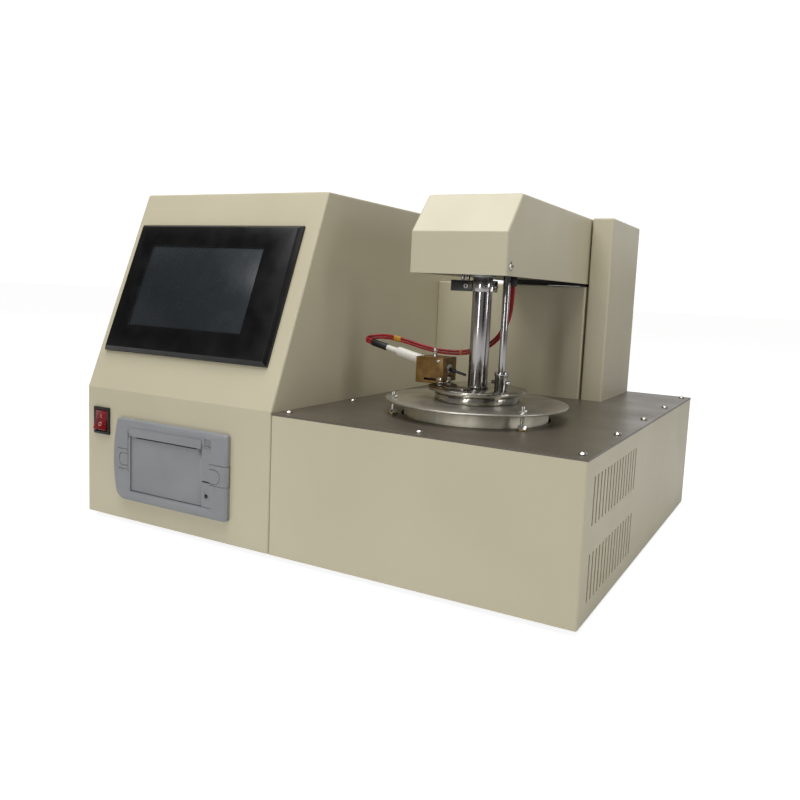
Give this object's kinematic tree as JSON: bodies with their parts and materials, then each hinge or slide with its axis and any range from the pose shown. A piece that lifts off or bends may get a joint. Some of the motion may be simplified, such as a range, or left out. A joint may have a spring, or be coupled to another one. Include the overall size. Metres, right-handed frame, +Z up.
{
  "type": "flash point tester",
  "caption": "Bench instrument: sloped console with display and printer beside a low base, where a lifting head carries lid, stirrer and igniter over a heated cup.",
  "frame": {"origin": "centre of the bounding box in plan, on the plane the feet stand on", "axes": "+X to the right along the front, +Y to the back, +Z up"},
  "size_m": [0.549, 0.4719, 0.352],
  "materials": {
    "cream_paint": "fine textured satin",
    "deck_paint": "fine textured satin",
    "pan_metal": "satin",
    "foot_rubber": "matte",
    "fixing_steel": "bright",
    "blackened_steel": "satin",
    "bezel_plastic": "gloss",
    "screen_glass": "gloss",
    "switch_plastic": "satin",
    "rocker_plastic": "translucent red",
    "printer_plastic": "fine textured",
    "roller_rubber": "matte",
    "paper": "matte paper",
    "ring_steel": "turned",
    "jacket_steel": "spun",
    "heater_aluminium": "turned",
    "heater_band": "satin",
    "seat_steel": "turned",
    "cup_nickel": "turned, nickel plated",
    "lid_steel": "turned",
    "frame_aluminium": "milled",
    "motor_black": "satin",
    "column_chrome": "polished",
    "gland_plastic": "satin",
    "coil_resin": "cast",
    "block_brass": "passivated yellow",
    "ceramic": "glazed",
    "electrode_steel": "heat darkened",
    "boot_rubber": "matte",
    "lead_silicone": "satin",
    "board_fibre": "satin"
  },
  "bodies": {
    "base": {"base_shell": "cream_paint", "deck_plate": "deck_paint", "deck_screws": "fixing_steel", "bottom_pans": "pan_metal", "rubber_feet": "foot_rubber", "console_shell": "cream_paint", "console_back": "cream_paint", "display_housing": "bezel_plastic", "display_glass": "screen_glass", "switch_housing": "switch_plastic", "printer_frame": "printer_plastic", "bath_ring": "ring_steel", "ring_studs": "fixing_steel", "bath_jacket": "jacket_steel", "heater_block": "heater_aluminium", "heater_band": "heater_band", "cup_seat": "seat_steel", "sample_cup": "cup_nickel", "lift_cover": "cream_paint", "tower_cover": "cream_paint", "lift_frame": "frame_aluminium", "lift_motor": "motor_black", "fan_frame": "motor_black", "power_inlet": "switch_plastic", "power_supply": "pan_metal", "controller_board": "board_fibre"},
    "head": {"head_cover": "cream_paint", "head_plate": "blackened_steel", "head_screws": "fixing_steel", "column_bearing": "frame_aluminium", "shutter_motor": "motor_black", "stirrer_motor": "motor_black", "spark_coil": "coil_resin", "lead_gland": "gland_plastic", "lid_post": "column_chrome", "post_clamp": "column_chrome", "temperature_probe": "column_chrome", "lid": "lid_steel", "igniter_bracket": "fixing_steel", "stop_pins": "column_chrome", "lift_carriage": "frame_aluminium", "guide_rods": "column_chrome", "igniter_lead_upper": "lead_silicone", "igniter_lead_lower": "lead_silicone"},
    "shutter": {"shutter": "lid_steel", "column_tube": "column_chrome", "column_collar": "column_chrome", "shutter_lever": "blackened_steel"},
    "stirrer": {"stirrer": "column_chrome"},
    "igniter": {"igniter_block": "block_brass", "igniter_insulator": "ceramic", "igniter_electrode": "electrode_steel", "igniter_boot": "boot_rubber"},
    "screw": {"lead_screw": "column_chrome"},
    "rocker": {"rocker": "rocker_plastic"},
    "printer_door": {"printer_door": "printer_plastic"},
    "platen": {"platen_roller": "roller_rubber"},
    "paper": {"paper_roll": "paper"},
    "feed_button": {"feed_button": "switch_plastic"},
    "fan": {"fan_impeller": "motor_black"}
  },
  "joints": [
    {"name": "head_lift", "type": "slide", "parent": "base", "child": "head", "axis": [0, 0, 1], "range_m": [0, 0.08]},
    {"name": "screw_turn", "type": "hinge", "parent": "base", "child": "screw", "pos_m": [0.1187, 0.1665, 0.14], "axis": [0, 0, 1], "range_deg": [0, 3601]},
    {"name": "shutter_turn", "type": "hinge", "parent": "head", "child": "shutter", "pos_m": [0.123, -0.0985, 0.2], "axis": [0, 0, 1], "range_deg": [0, 50]},
    {"name": "igniter_dip", "type": "hinge", "parent": "head", "child": "igniter", "pos_m": [0.0888, -0.0985, 0.1732], "axis": [0, 1, 0], "range_deg": [0, 35.5], "deforming": ["igniter_lead_upper", "igniter_lead_lower"]},
    {"name": "stirrer_spin", "type": "hinge", "parent": "head", "child": "stirrer", "pos_m": [0.123, -0.0985, 0.2], "axis": [0, 0, 1], "continuous": true},
    {"name": "rocker_tilt", "type": "hinge", "parent": "base", "child": "rocker", "pos_m": [-0.2513, -0.2277, 0.1063], "axis": [1, 0, 0], "range_deg": [0, 20]},
    {"name": "printer_door", "type": "hinge", "parent": "base", "child": "printer_door", "pos_m": [-0.154, -0.233, 0.0404], "axis": [1, 0, 0], "range_deg": [0, 90]},
    {"name": "platen_spin", "type": "hinge", "parent": "printer_door", "child": "platen", "pos_m": [-0.154, -0.2262, 0.0862], "axis": [1, 0, 0], "continuous": true},
    {"name": "paper_spin", "type": "hinge", "parent": "base", "child": "paper", "pos_m": [-0.154, -0.1995, 0.06725], "axis": [1, 0, 0], "continuous": true},
    {"name": "feed_button_press", "type": "slide", "parent": "base", "child": "feed_button", "axis": [0, 1, 0], "range_m": [0, 0.0008], "stiffness_N_per_m": 500, "springref_m": -0.0006},
    {"name": "fan_spin", "type": "hinge", "parent": "base", "child": "fan", "pos_m": [0.2025, 0.224, 0.0715], "axis": [0, 1, 0], "continuous": true}
  ],
  "couplings": [
    {"joint": "screw_turn", "follows": "head_lift", "rad_per_m": 785.4},
    {"joint": "igniter_dip", "follows": "shutter_turn", "ratio": 0.7}
  ]
}
